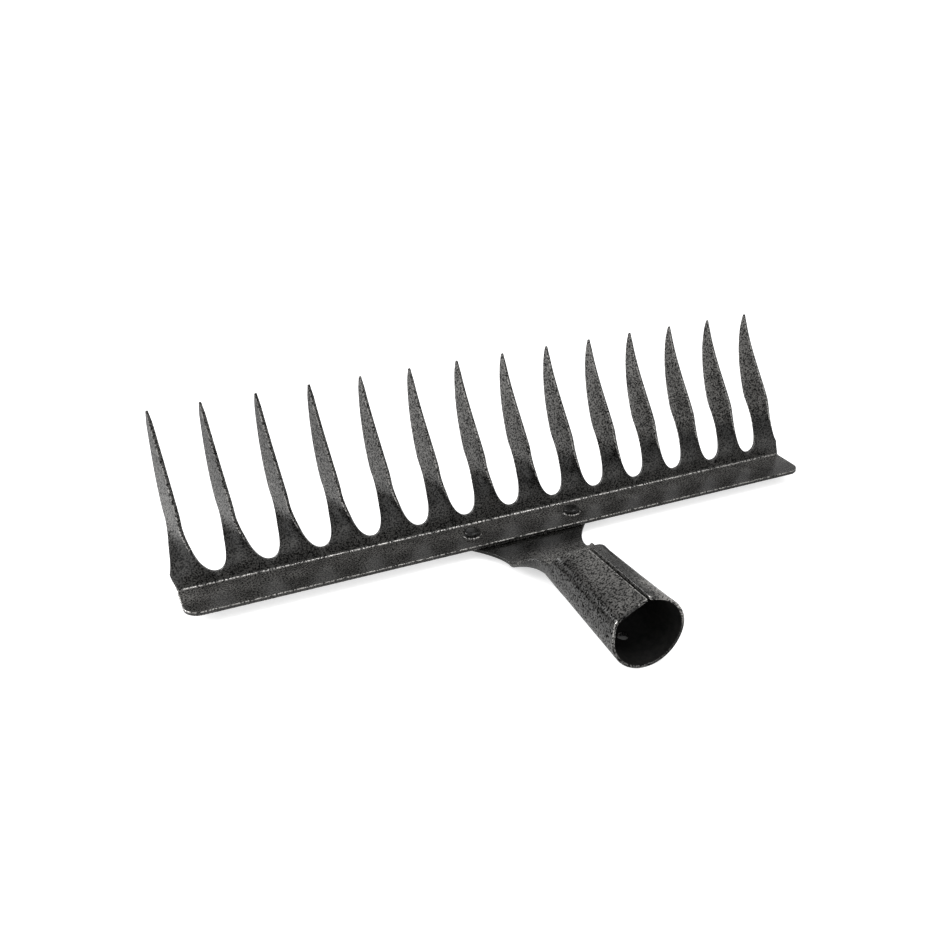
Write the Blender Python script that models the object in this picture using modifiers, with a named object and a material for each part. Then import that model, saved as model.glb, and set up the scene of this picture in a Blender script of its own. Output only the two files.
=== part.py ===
"""Garden rake head: a toothed steel blade riveted to a tongue that is rolled into a handle socket.

X runs along the blade, -Y points to the handle and +Z along the tines. The world origin is the
middle of the flange's front edge. The pieces are modelled with Y = 0 in the middle of the blade's
plate and Z = 0 on the flange's upper face, and hang on an empty that moves them to the world origin.
Sizes are in metres.
"""

import math

import bmesh
import bpy
from mathutils import Vector

MM = 0.001

# Blade: one sheet, bent square into a toothed plate and a flange
SHEET = 2.1 * MM
TINE_COUNT = 14
TINE_PITCH = 26.5 * MM
TINE_HEIGHT = 85.7 * MM
END_MARGIN = 8.3 * MM
FLANGE_DEPTH = 25.1 * MM
FLANGE_END_TAPER = 0.12
FLANGE_CORNER = 8.0 * MM
FOLD_RADIUS = 1.6 * MM

# Gaps between the tines: a flat oval bottom, then straight sides
GAP_BOTTOM = 5.7 * MM
GAP_ROUNDING = 14.4 * MM
SHANK_WIDTH = 11.4 * MM

# Tines: each is twisted above its root, widens to a leaf and runs out to a point
TWIST_ANGLE = math.radians(66)
TWIST_START = 7.0 * MM
TWIST_END = 34.0 * MM
LEAF_WIDTH = 15.2 * MM
LEAF_START = 23.0 * MM
LEAF_HEIGHT = 38.0 * MM
TIP_WIDTH = 1.0 * MM
TAPER_FULLNESS = 1.4
TINE_SWEEP = 23.3 * MM
SWEEP_START = 4.3 * MM
TINE_LEAN = 6.0 * MM
LEAN_FADE = 2.5

# Socket: a second sheet, flat under the flange and rolled to a tube at the handle
SOCKET_SHEET = 2.0 * MM
TONGUE_MARGIN = 8.4 * MM
TONGUE_SETBACK = 4.0 * MM
TONGUE_CORNER = 6.0 * MM
NECK_WIDTH = 43.0 * MM
FLARE_FULLNESS = 1.6
CURL_START = 45.0 * MM
CURL_END = 69.0 * MM
SHOULDER_START = 68.0 * MM
SHOULDER_FULLNESS = 2.2
TUBE_START = 89.0 * MM
MOUTH = 139.3 * MM
MOUTH_TRIM = 1.0 * MM
AXIS_HEIGHT = 8.1 * MM
MOUTH_RADIUS = 16.7 * MM
REAR_RADIUS = 15.1 * MM
SEAM_CLEARANCE = 0.5 * MM
FLAT_ANGLE = math.radians(26)
CREASE_RADIUS = 5.0 * MM
SEAM_PEAK_ANGLE = math.radians(16)
NAIL_HOLE = 5.0 * MM
NAIL_HOLE_SETBACK = 20.0 * MM

# Rivets: domed heads on the flange, flat tails under the tongue
RIVET_SPACING = 59.2 * MM
RIVET_SETBACK = 13.4 * MM
RIVET_HEAD = 9.2 * MM
RIVET_DOME = 3.0 * MM
RIVET_RIM = 0.5 * MM
RIVET_SHANK = 5.0 * MM
RIVET_TAIL = 8.4 * MM
RIVET_TAIL_HEIGHT = 1.6 * MM

# Gaps that neighbouring pieces keep
SEAT_GAP = 0.3 * MM
SHANK_CLEARANCE = 0.3 * MM

# Facets
ROUND_SEGMENTS = 32
HALF_COLUMNS = 14

RIVET_HOLE = RIVET_SHANK + 2 * SHANK_CLEARANCE

# The tongue is widest at the rivets, and keeps a margin outside them
TONGUE_WIDTH = RIVET_SPACING + 2 * TONGUE_MARGIN

# The tongue's faces under the flange, whose upper face is at Z = 0
LAP_TOP = -SHEET - SEAT_GAP
LAP_BOTTOM = LAP_TOP - SOCKET_SHEET
TONGUE_LEVEL = LAP_TOP - SOCKET_SHEET / 2


def smooth(value, start, end):
    """A soft step from 0 at start to 1 at end."""
    share = min(max((value - start) / (end - start), 0.0), 1.0)
    return share * share * (3 - 2 * share)


def between(start, end, share):
    return start + (end - start) * share


def spaced(start, end, count):
    """count values after start, evenly spaced up to end."""
    return [between(start, end, (i + 1) / count) for i in range(count)]


def new_collection(name):
    collection = bpy.data.collections.new(name)
    bpy.context.scene.collection.children.link(collection)
    return collection


def new_material(name, colour, roughness, metallic):
    material = bpy.data.materials.new(name)
    material.use_nodes = True
    shader = material.node_tree.nodes["Principled BSDF"]
    shader.inputs["Base Color"].default_value = (*colour, 1.0)
    shader.inputs["Roughness"].default_value = roughness
    shader.inputs["Metallic"].default_value = metallic
    return material


def new_object(name, mesh, collection, holder, material=None):
    item = bpy.data.objects.new(name, mesh)
    collection.objects.link(item)
    item.parent = holder
    if material:
        mesh.materials.append(material)
    return item


def new_holder(collection):
    """An empty that carries every piece from the plate's frame to the world's."""
    holder = bpy.data.objects.new("plate_frame", None)
    holder.location = (0, SHEET / 2 + FLANGE_DEPTH, SHEET / 2)
    collection.objects.link(holder)
    return holder


def grid_mesh(name, rows):
    """An open surface through rows of points, each row as long as the others."""
    work = bmesh.new()
    grid = [[work.verts.new(point) for point in row] for row in rows]
    for lower, upper in zip(grid, grid[1:]):
        for i in range(len(lower) - 1):
            work.faces.new((lower[i], lower[i + 1], upper[i + 1], upper[i]))
    bmesh.ops.remove_doubles(work, verts=work.verts, dist=0.001 * MM)
    mesh = bpy.data.meshes.new(name)
    work.to_mesh(mesh)
    work.free()
    return mesh


def join_meshes(name, meshes):
    """One mesh from several whose shared borders lie on each other."""
    work = bmesh.new()
    for mesh in meshes:
        work.from_mesh(mesh)
        bpy.data.meshes.remove(mesh)
    bmesh.ops.remove_doubles(work, verts=work.verts, dist=0.001 * MM)
    bmesh.ops.recalc_face_normals(work, faces=work.faces)
    mesh = bpy.data.meshes.new(name)
    work.to_mesh(mesh)
    work.free()
    return mesh


def add_solidify(item, thickness):
    solid = item.modifiers.new("Sheet", "SOLIDIFY")
    solid.thickness = thickness
    solid.offset = 0.0
    solid.use_even_offset = True


def shade(item):
    item.data.shade_smooth()
    item.data.set_sharp_from_angle(angle=math.radians(30))


def cut_away(item, work, name, centre, cutters):
    """Cuts the shape in a bmesh, placed at centre, from an object."""
    mesh = bpy.data.meshes.new(name)
    work.to_mesh(mesh)
    work.free()
    cutter = new_object(name, mesh, cutters, item.parent)
    cutter.location = centre
    cutter.hide_render = True
    cutter.display_type = "WIRE"
    cut = item.modifiers.new(name, "BOOLEAN")
    cut.operation = "DIFFERENCE"
    cut.object = cutter


def drill(item, name, centre, diameter, length, cutters):
    """Cuts an upright round hole through an object."""
    work = bmesh.new()
    bmesh.ops.create_cone(
        work,
        cap_ends=True,
        segments=ROUND_SEGMENTS,
        radius1=diameter / 2,
        radius2=diameter / 2,
        depth=length,
    )
    cut_away(item, work, name, centre, cutters)


def face_off(item, name, centre, size, cutters):
    """Cuts a cube away from an object, to leave it with a flat end."""
    work = bmesh.new()
    bmesh.ops.create_cube(work, size=size)
    cut_away(item, work, name, centre, cutters)


def tine_half_width(height):
    """Half the width of a tine's blank, without the flare at its root."""
    if height < LEAF_HEIGHT:
        share = smooth(height, LEAF_START, LEAF_HEIGHT)
        return between(SHANK_WIDTH, LEAF_WIDTH, share) / 2
    share = min((height - LEAF_HEIGHT) / (TINE_HEIGHT - LEAF_HEIGHT), 1.0)
    return between(LEAF_WIDTH, TIP_WIDTH, share**TAPER_FULLNESS) / 2


def flared_half_width(height):
    """Half the sheet's width at a tine: the whole pitch up to the gap's bottom, then less."""
    rise = min(max((height - GAP_BOTTOM) / GAP_ROUNDING, 0.0), 1.0)
    opening = math.sqrt(1 - (1 - rise) ** 2)
    return between(TINE_PITCH / 2, tine_half_width(height), opening)


def tine_centre(height):
    """Offset of a tine's middle line from its root: it leans sideways and sweeps back."""
    share = min(height / TINE_HEIGHT, 1.0)
    lean = -TINE_LEAN * (1 - (1 - share) ** LEAN_FADE)
    sweep = TINE_SWEEP * smooth(height, SWEEP_START, TINE_HEIGHT)
    return Vector((lean, sweep, height))


def tine_row(root, height, left_limit, right_limit):
    """Points across one tine at a height, turned about its middle line."""
    centre = tine_centre(height) + Vector((root, 0, 0))
    turn = TWIST_ANGLE * smooth(height, TWIST_START, TWIST_END)
    across = Vector((math.cos(turn), -math.sin(turn), 0))
    width = flared_half_width(height)
    left = -min(width, left_limit)
    right = min(width, right_limit)
    return [centre + across * between(left, right, share) for share in (0, 0.5, 1)]


def flange_trim(depth):
    """How far the flange's end lies inside the plate's end at a depth from the plate."""
    into_corner = max(depth - (FLANGE_DEPTH - FLANGE_CORNER), 0.0)
    rounding = FLANGE_CORNER - math.sqrt(max(FLANGE_CORNER**2 - into_corner**2, 0.0))
    return FLANGE_END_TAPER * depth + rounding


def blade_cell(number):
    """The strip of sheet that carries one tine, from the flange's front edge to the tip."""
    root = (number - (TINE_COUNT - 1) / 2) * TINE_PITCH
    left_limit = END_MARGIN if number == 0 else TINE_PITCH
    right_limit = END_MARGIN if number == TINE_COUNT - 1 else TINE_PITCH
    half = TINE_PITCH / 2
    bend = FOLD_RADIUS + SHEET / 2
    rows = []

    straight = FLANGE_DEPTH - FLANGE_CORNER
    corner_steps = [math.sin(math.pi / 2 * i / 4) for i in range(4, 0, -1)]
    depths = [straight + FLANGE_CORNER * step for step in corner_steps]
    depths += [straight, between(straight, FOLD_RADIUS, 0.5), FOLD_RADIUS]
    for depth in depths:
        trim = flange_trim(depth)
        left = -min(half, left_limit) + (trim if number == 0 else 0)
        right = min(half, right_limit) - (trim if number == TINE_COUNT - 1 else 0)
        place = -SHEET / 2 - depth
        row = [between(left, right, share) for share in (0, 0.5, 1)]
        rows.append([Vector((root + x, place, -SHEET / 2)) for x in row])

    for angle in spaced(0, math.pi / 2, 4):
        trim = flange_trim(FOLD_RADIUS) * math.cos(angle)
        left = -min(half, left_limit) + (trim if number == 0 else 0)
        right = min(half, right_limit) - (trim if number == TINE_COUNT - 1 else 0)
        offset = Vector((0, -bend + bend * math.sin(angle), FOLD_RADIUS - bend * math.cos(angle)))
        row = [between(left, right, share) for share in (0, 0.5, 1)]
        rows.append([Vector((root + x, 0, 0)) + offset for x in row])

    heights = [GAP_BOTTOM]
    heights += [GAP_BOTTOM + GAP_ROUNDING * (1 - math.cos(a)) for a in spaced(0, math.pi / 2, 6)]
    heights += spaced(GAP_BOTTOM + GAP_ROUNDING, TINE_HEIGHT, 11)
    rows += [tine_row(root, height, left_limit, right_limit) for height in heights]
    return grid_mesh("cell", rows)


def rivet_places():
    return {
        "left": Vector((-RIVET_SPACING / 2, -RIVET_SETBACK, 0)),
        "right": Vector((RIVET_SPACING / 2, -RIVET_SETBACK, 0)),
    }


def add_blade(parts, cutters, holder, material):
    cells = [blade_cell(number) for number in range(TINE_COUNT)]
    mesh = join_meshes("tine_blade", cells)
    blade = new_object("tine_blade", mesh, parts, holder, material)
    add_solidify(blade, SHEET)
    for side, place in rivet_places().items():
        middle = place + Vector((0, 0, -SHEET / 2))
        drill(blade, f"flange_hole_{side}", middle, RIVET_HOLE, 2 * SHEET, cutters)
    shade(blade)


def tube_turns(radius, side):
    """The rolled half section as (length, turn) runs, from the bottom to the seam.

    The left half is a round arc, a crease and a flat that leans to the seam. The right half
    stays round until just beside the seam.
    """
    middle = radius - SOCKET_SHEET / 2
    if side == "right":
        arc = math.pi - SEAM_PEAK_ANGLE
        edge = SEAM_CLEARANCE / 2 + SOCKET_SHEET / 2 * math.sin(SEAM_PEAK_ANGLE)
        reach = middle * math.tan(SEAM_PEAK_ANGLE) - edge / math.cos(SEAM_PEAK_ANGLE)
        return [(middle * arc, arc), (reach, 0.0)]
    edge = SEAM_CLEARANCE / 2 + SOCKET_SHEET / 2 * math.sin(FLAT_ANGLE)
    peak = middle / math.cos(SEAM_PEAK_ANGLE)
    # The arc turns a little past upright, so that the flat ends level with the seam's peak
    arc = math.radians(96)
    crease = math.pi - FLAT_ANGLE - arc
    crease_rise = CREASE_RADIUS * (math.cos(arc) - math.cos(arc + crease))
    crease_run = CREASE_RADIUS * (math.sin(arc + crease) - math.sin(arc))
    start = Vector((middle * math.sin(arc), -middle * math.cos(arc)))
    # Straight wall w and flat f: start + w * wall + crease + f * flat = (edge, peak - slope)
    goal = Vector((edge, peak - edge * math.tan(FLAT_ANGLE))) - start
    goal -= Vector((crease_run, crease_rise))
    wall = Vector((math.cos(arc), math.sin(arc)))
    flat = Vector((math.cos(arc + crease), math.sin(arc + crease)))
    spread = wall.x * flat.y - wall.y * flat.x
    wall_length = (goal.x * flat.y - goal.y * flat.x) / spread
    flat_length = (wall.x * goal.y - wall.y * goal.x) / spread
    return [
        (middle * arc, arc),
        (wall_length, 0.0),
        (CREASE_RADIUS * crease, crease),
        (flat_length, 0.0),
    ]


def turned_at(runs, length):
    """How far the section has turned after a length along it."""
    turn = 0.0
    for run, angle in runs:
        if length < run:
            return turn + angle * length / run
        turn += angle
        length -= run
    return turn


def half_section(runs, curl, reach):
    """Points from the bottom outward, on a section with a share of its full roll."""
    steps = 24
    place = Vector((0, 0))
    points = [place.copy()]
    for along in spaced(0, reach, HALF_COLUMNS):
        step = reach / HALF_COLUMNS / steps
        for i in range(steps):
            turn = curl * turned_at(runs, along - (i + 0.5) * step)
            place += Vector((math.cos(turn), math.sin(turn))) * step
        points.append(place.copy())
    return points


def blank_reach(depth, full):
    """Half the width of the socket's flat blank at a distance in front of the blade."""
    if depth > CURL_START:
        share = min(max((depth - SHOULDER_START) / (TUBE_START - SHOULDER_START), 0.0), 1.0)
        return between(NECK_WIDTH / 2, full, share**SHOULDER_FULLNESS)
    flare_start = RIVET_SETBACK + RIVET_TAIL / 2
    share = min((CURL_START - depth) / (CURL_START - flare_start), 1.0)
    into_corner = max(TONGUE_SETBACK + TONGUE_CORNER - depth, 0.0)
    rounding = TONGUE_CORNER - math.sqrt(TONGUE_CORNER**2 - into_corner**2)
    return between(NECK_WIDTH, TONGUE_WIDTH, share**FLARE_FULLNESS) / 2 - rounding


def socket_row(depth):
    """Points across the socket's sheet at a distance in front of the blade."""
    share = max((depth - TUBE_START) / (MOUTH - TUBE_START), 0.0)
    radius = between(REAR_RADIUS, MOUTH_RADIUS, share)
    curl = smooth(depth, CURL_START, CURL_END)
    tube_bottom = AXIS_HEIGHT - radius + SOCKET_SHEET / 2
    bottom = between(TONGUE_LEVEL, tube_bottom, smooth(depth, CURL_START, TUBE_START))
    halves = []
    for side, sign in (("left", -1), ("right", 1)):
        runs = tube_turns(radius, side)
        full = sum(run for run, turn in runs)
        points = half_section(runs, curl, blank_reach(depth, full))
        halves.append([Vector((sign * point.x, -depth, bottom + point.y)) for point in points])
    left, right = halves
    return left[:0:-1] + right


def add_socket(parts, cutters, holder, material):
    corner = [TONGUE_CORNER * (1 - math.cos(math.pi / 2 * i / 4)) for i in range(5)]
    depths = [TONGUE_SETBACK + step for step in corner]
    depths += spaced(depths[-1], CURL_START, 8)
    depths += spaced(CURL_START, TUBE_START, 16)
    depths += spaced(TUBE_START, MOUTH + MOUTH_TRIM, 6)
    rows = [socket_row(depth) for depth in depths]
    mesh = join_meshes("handle_socket", [grid_mesh("sheet", rows)])
    socket = new_object("handle_socket", mesh, parts, holder, material)
    add_solidify(socket, SOCKET_SHEET)
    for side, place in rivet_places().items():
        middle = place + Vector((0, 0, TONGUE_LEVEL))
        drill(socket, f"tongue_hole_{side}", middle, RIVET_HOLE, 2 * SOCKET_SHEET, cutters)
    trim = 4 * MOUTH_RADIUS
    end = Vector((0, -MOUTH - trim / 2, AXIS_HEIGHT))
    face_off(socket, "mouth_face", end, trim, cutters)
    nail = Vector((0, -MOUTH + NAIL_HOLE_SETBACK, AXIS_HEIGHT - MOUTH_RADIUS))
    drill(socket, "nail_hole", nail, NAIL_HOLE, 6 * SOCKET_SHEET, cutters)
    shade(socket)


def rivet_profile():
    """Half outline in the XZ plane, from the top of the dome down to the tail."""
    head = RIVET_HEAD / 2
    shank = RIVET_SHANK / 2
    tail = RIVET_TAIL / 2
    seat = SEAT_GAP
    dome = RIVET_DOME - RIVET_RIM
    points = [(0, seat + RIVET_DOME)]
    for angle in spaced(0, math.pi / 2, 6):
        points.append((head * math.sin(angle), seat + RIVET_RIM + dome * math.cos(angle)))
    tail_top = LAP_BOTTOM - SEAT_GAP
    points += [(head, seat), (shank, seat), (shank, tail_top), (tail, tail_top)]
    points += [(tail, tail_top - RIVET_TAIL_HEIGHT), (0, tail_top - RIVET_TAIL_HEIGHT)]
    return points


def add_rivets(parts, holder, material):
    for side, place in rivet_places().items():
        name = f"rivet_{side}"
        mesh = bpy.data.meshes.new(name)
        points = [(x, 0, z) for x, z in rivet_profile()]
        edges = [(i, i + 1) for i in range(len(points) - 1)]
        mesh.from_pydata(points, edges, [])
        rivet = new_object(name, mesh, parts, holder, material)
        rivet.location = place
        screw = rivet.modifiers.new("Turn", "SCREW")
        screw.steps = ROUND_SEGMENTS
        screw.render_steps = ROUND_SEGMENTS
        screw.use_merge_vertices = True
        screw.merge_threshold = 0.01 * MM
        screw.use_smooth_shade = False


def main():
    for item in list(bpy.data.objects):
        bpy.data.objects.remove(item)
    parts = new_collection("garden_rake_head")
    cutters = new_collection("cutters")
    coat = new_material("dark_hammered_coat", (0.035, 0.036, 0.04), 0.4, 0.6)
    steel = new_material("dark_coated_rivet", (0.03, 0.031, 0.035), 0.35, 0.6)
    holder = new_holder(parts)
    add_blade(parts, cutters, holder, coat)
    add_socket(parts, cutters, holder, coat)
    add_rivets(parts, holder, steel)


main()
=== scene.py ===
"""Dresses the garden rake head: finer sheets, rolled socket and rivets with a dark hammered coat.

The shapes repeat the source's formulas with more rows and columns, rounded cut edges and a softer
coat. They are modelled in the blade's plate frame and moved to the row frame. Sizes are in metres.
"""

import math

import bmesh
import bpy
from mathutils import Matrix, Vector


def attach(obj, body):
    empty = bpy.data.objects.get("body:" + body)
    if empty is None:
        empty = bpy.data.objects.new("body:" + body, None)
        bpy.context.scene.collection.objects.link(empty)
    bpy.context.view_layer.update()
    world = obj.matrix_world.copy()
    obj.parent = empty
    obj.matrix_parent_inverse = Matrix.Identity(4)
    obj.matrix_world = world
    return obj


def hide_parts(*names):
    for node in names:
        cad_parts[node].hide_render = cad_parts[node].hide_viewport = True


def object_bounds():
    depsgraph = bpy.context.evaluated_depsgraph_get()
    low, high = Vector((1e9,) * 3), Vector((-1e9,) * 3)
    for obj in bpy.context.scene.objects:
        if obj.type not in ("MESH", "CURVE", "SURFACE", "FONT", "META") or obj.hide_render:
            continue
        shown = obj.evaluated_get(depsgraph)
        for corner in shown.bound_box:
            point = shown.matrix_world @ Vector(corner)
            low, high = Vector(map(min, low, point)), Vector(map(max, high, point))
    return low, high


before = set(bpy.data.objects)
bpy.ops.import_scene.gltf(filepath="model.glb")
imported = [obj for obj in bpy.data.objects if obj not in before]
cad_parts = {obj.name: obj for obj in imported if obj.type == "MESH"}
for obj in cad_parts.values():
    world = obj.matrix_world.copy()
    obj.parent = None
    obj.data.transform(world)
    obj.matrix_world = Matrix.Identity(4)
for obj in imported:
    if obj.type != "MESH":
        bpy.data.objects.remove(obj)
cad_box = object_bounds()

MM = 0.001

# Blade
SHEET = 2.1 * MM
TINE_COUNT = 14
TINE_PITCH = 26.5 * MM
TINE_HEIGHT = 85.7 * MM
END_MARGIN = 8.3 * MM
FLANGE_DEPTH = 25.1 * MM
FLANGE_END_TAPER = 0.12
FLANGE_CORNER = 8.0 * MM
FOLD_RADIUS = 1.6 * MM
GAP_BOTTOM = 5.7 * MM
GAP_ROUNDING = 14.4 * MM
SHANK_WIDTH = 11.4 * MM
TWIST_ANGLE = math.radians(66)
TWIST_START = 7.0 * MM
TWIST_END = 34.0 * MM
LEAF_WIDTH = 15.2 * MM
LEAF_START = 23.0 * MM
LEAF_HEIGHT = 38.0 * MM
TIP_WIDTH = 1.0 * MM
TAPER_FULLNESS = 1.4
TINE_SWEEP = 23.3 * MM
SWEEP_START = 4.3 * MM
TINE_LEAN = 6.0 * MM
FIRST_TINE_LEAN = 4.0 * MM
LEAN_FADE = 2.5

# Socket
SOCKET_SHEET = 2.0 * MM
TONGUE_WIDTH = 76.0 * MM
TONGUE_SETBACK = 4.0 * MM
TONGUE_CORNER = 6.0 * MM
NECK_WIDTH = 43.0 * MM
FLARE_FULLNESS = 1.6
CURL_START = 45.0 * MM
CURL_END = 69.0 * MM
SHOULDER_START = 68.0 * MM
SHOULDER_FULLNESS = 2.2
TUBE_START = 89.0 * MM
MOUTH = 139.3 * MM
AXIS_HEIGHT = 8.1 * MM
MOUTH_RADIUS = 16.7 * MM
REAR_RADIUS = 15.1 * MM
SEAM_CLEARANCE = 0.5 * MM
WALL_TURN = math.radians(96)
FLAT_ANGLE = math.radians(26)
CREASE_RADIUS = 5.0 * MM
SEAM_PEAK_ANGLE = math.radians(16)
NAIL_HOLE = 5.0 * MM
NAIL_HOLE_SETBACK = 20.0 * MM

# Rivets
RIVET_SPACING = 59.2 * MM
RIVET_SETBACK = 13.4 * MM
RIVET_HEAD = 9.2 * MM
RIVET_DOME = 3.0 * MM
RIVET_RIM = 0.5 * MM
RIVET_SHANK = 5.0 * MM
RIVET_TAIL = 8.4 * MM
RIVET_TAIL_HEIGHT = 1.6 * MM
SEAT_GAP = 0.3 * MM
SHANK_CLEARANCE = 0.3 * MM

RIVET_HOLE = RIVET_SHANK + 2 * SHANK_CLEARANCE
LAP_TOP = -SHEET - SEAT_GAP
LAP_BOTTOM = LAP_TOP - SOCKET_SHEET
TONGUE_LEVEL = LAP_TOP - SOCKET_SHEET / 2
NAIL_PLACE = Vector((0, -MOUTH + NAIL_HOLE_SETBACK, AXIS_HEIGHT - MOUTH_RADIUS))

# From the plate's frame to the row frame
PLATE_FRAME = Vector((0, SHEET / 2 + FLANGE_DEPTH, SHEET / 2))

# Finer than the source
HALF_TINE_COLUMNS = 5
FLANGE_CORNER_ROWS = 9
FLANGE_ROWS = 6
FOLD_ROWS = 8
GAP_ROWS = 18
TINE_ROWS = 44
TIP_ROWS = 3
HALF_SOCKET_COLUMNS = 44
SECTION_STEPS = 8
TONGUE_CORNER_ROWS = 8
TONGUE_ROWS = 24
NECK_ROWS = 44
TUBE_ROWS = 30
DOME_ROWS = 20
COLLAR_ROWS = 5
ROUND_SEGMENTS = 64
MERGE = 0.001 * MM

# Rounded edges, and how much of a face's width one of them may take
EDGE_ROUNDING = 0.45 * MM
RIVET_EDGE_ROUNDING = 0.2 * MM
ROUNDED_ANGLE = math.radians(40)
CREASED_ANGLE = math.radians(50)
LONE_EDGE_SHARE = 0.9
SHARED_EDGE_SHARE = 0.45

# The rivets' heads are full domes, with a collar of coat
HEAD_FULLNESS = 0.55
COAT_COLLAR = 0.6 * MM

# The tines' points are thinner than the sheet
POINT_LENGTH = 7.0 * MM
POINT_THICKNESS = 0.55
TIP_ROUNDING = 0.7 * MM
TIP_BLUNTNESS = 0.3

# The socket's sheet thins inside its mouth, which bulges to the right
MOUTH_THINNING = 7.0 * MM
MOUTH_THICKNESS = 0.65
MOUTH_BULGE = 0.055
BULGE_POWER = 4
BULGE_START = -0.8
BULGE_END = 0.3

# Material slots
COAT, WEAR_AND_GLINT, INSIDE = range(3)

# Where the arrises carry the worn coat, partly wear and partly painted glints, and where the
# inside's painted shade starts
WEAR_AND_GLINT_FROM = 20.0 * MM
FOLD_SHINE_START = math.radians(23)
FOLD_SHINE_END = math.radians(56)
TUBE_COAT_START = TUBE_START - 4.0 * MM
RIM_DEPTH = 2.0 * MM
FLAT_BOTTOM = 18.0 * MM
# How far the painted highlight dash of worn coat on the rim reaches from the seam
RIM_DASH = 5.0 * MM
NAIL_WALL = 0.51 * NAIL_HOLE
NAIL_EDGE = 0.7 * NAIL_HOLE
CUT_SIDE_DEPTH = 0.1 * MM

# How bright the flecks are at each place. 1 is the coat's own light colour. These levels paint
# light and shade into the coat: painted shade on the tongue by the flange, at the tines' roots
# and twist, on the left points, the flange's front, the tube's wall, right of the seam and on the
# upper rim; painted light on the cut sides, the neck and the lower rim; and a painted highlight at
# the right of the mouth
FLECKS = {
    "flange_front": 0.4,
    "flange_rear": 1.0,
    "cut_side": 1.4,
    "left_cut_side": 0.7,
    "root": 0.65,
    "twist": 0.25,
    "leaf": 1.0,
    "left_point": 0.4,
    "tongue": 0.1,
    "neck": 1.3,
    "tube_bottom": 0.85,
    "tube_wall": 0.25,
    "tube_flat": 0.68,
    "right_of_seam": 0.4,
    "painted_highlight": 4.0,
    "lower_rim": 1.3,
    "upper_rim": 0.3,
    "rivet": 0.15,
}

# How dull the dots between the flecks are at each place, and how dull the crease is. 1 is the most
PITS = {"flange": 0.0, "root": 0.2, "leaf": 0.5, "tube_flat": 0.3, "tube_wall": 1.0}
CREASE_MATT = 0.8

# Where one level runs into the next. Each name ends with the direction that is measured: left is
# the way against x, up is z, and depth is the distance in front of the blade
FLANGE_FRONT_DEPTH = (6 * MM, 20 * MM)
CUT_SIDE_LEFT = (20 * MM, 120 * MM)
TWIST_UP = (11 * MM, 19 * MM)
LEAF_UP = (22 * MM, 32 * MM)
POINT_UP = (40 * MM, 70 * MM)
POINT_LEFT = (10 * MM, 140 * MM)
PITTED_LEAF_UP = (10 * MM, 26 * MM)
# The painted highlight at the right of the mouth
PAINTED_HIGHLIGHT_RIGHT = (1 * MM, 11 * MM)
PAINTED_HIGHLIGHT_UP = (AXIS_HEIGHT - 2 * MM, 14 * MM)
PAINTED_HIGHLIGHT_DEPTH = (MOUTH - 30 * MM, MOUTH - 6 * MM)
TUBE_WALL_UP = (0, 10 * MM)
TUBE_FLAT_UP = (17.5 * MM, 21 * MM)
NECK_RIGHT = (-16 * MM, -4 * MM)
NECK_END_DEPTH = (66 * MM, 84 * MM)
RIM_START_DEPTH = (MOUTH - 0.8 * MM, MOUTH - 0.4 * MM)
TONGUE_END_DEPTH = (33 * MM, 58 * MM)
PITTED_WALL_UP = (18.5 * MM, 21 * MM)
PITTED_WALL_RIGHT = (0, 4 * MM)
PITTED_WALL_DEPTH = (60 * MM, 84 * MM)
CREASE_START_UP = (13.5 * MM, 16 * MM)
CREASE_END_UP = (18.5 * MM, 20.5 * MM)
CREASE_LEFT = (8 * MM, 10 * MM)
CREASE_DEPTH = (76 * MM, 90 * MM)

# The coat: its tones, its grain, where the grain turns from dots to flecks, and how it mirrors
DOT_COLOUR = (0.008, 0.008, 0.0077)
FLECK_COLOUR = (0.18, 0.175, 0.167)
WEAR_AND_GLINT_COLOUR = (0.62, 0.605, 0.58)
GRAIN_SCALE = 1180.0
GRAIN_DEPTH = 0.2 * MM
PATCH_SCALE = 130.0
DOT_END = 0.41
FLECK_START = 0.55
WEAR_AND_GLINT_METAL = 0.6
COAT_MIRROR = 0.4
PITTED_DOT_CHANGE = -0.4
PITTED_FLECK_CHANGE = 0.5

# The inside, painted near black as shade
INSIDE_SCALE = 420.0
INSIDE_DEPTH = 0.1 * MM
INSIDE_ROUGHNESS = 0.65
INSIDE_MIRROR = 0.25

# Studio, in metres
FLOOR_CENTRE = 0.02
FLOOR_RADIUS = 1.6
WALL_CURVE = 0.8
WALL_TOP = 1.0
FLOOR_SEGMENTS = 96
FLOOR_COLOUR = 0.6
GLOW_DIRECTION = (-0.7, 0.7, -1.1)
SHADE_REACH = 0.015
SKY_STRENGTH = 0.45

# The floor is painted dark, as shade, in a small round under the nail hole
HOLE_SHADE_OFFSET = Vector((1.0 * MM, 2.5 * MM, 0))
HOLE_SHADE_START = 4.2 * MM
HOLE_SHADE_FULL = 3.2 * MM
HOLE_SHADE_GLOW = 0.03
HOLE_SHADE_COLOUR = 0.22

# The photograph's viewpoint, measured in the plate's frame
CAMERA_PLACE = Vector((-0.15213, -0.37095, 0.20328))
CAMERA_VIEW = Vector((0.30422, 0.86141, -0.40673))
CAMERA_UP = Vector((0.19498, 0.36162, 0.91171))
CAMERA_SENSOR = 36.0
CAMERA_LENS = 30.282


def smooth(value, start, end):
    """A soft step from 0 at start to 1 at end."""
    share = min(max((value - start) / (end - start), 0.0), 1.0)
    return share * share * (3 - 2 * share)


def between(start, end, share):
    return start + (end - start) * share


def spaced(start, end, count):
    """count values after start, evenly spaced up to end."""
    return [between(start, end, (i + 1) / count) for i in range(count)]


def crowded(reach, count, power):
    """Values from 0 up to reach, closer together near 0."""
    return [reach * (i / count) ** power for i in range(count + 1)]


def new_object(name, mesh, material):
    item = bpy.data.objects.new(name, mesh)
    bpy.context.scene.collection.objects.link(item)
    item.location = PLATE_FRAME
    mesh.materials.append(material)
    return item


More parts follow.
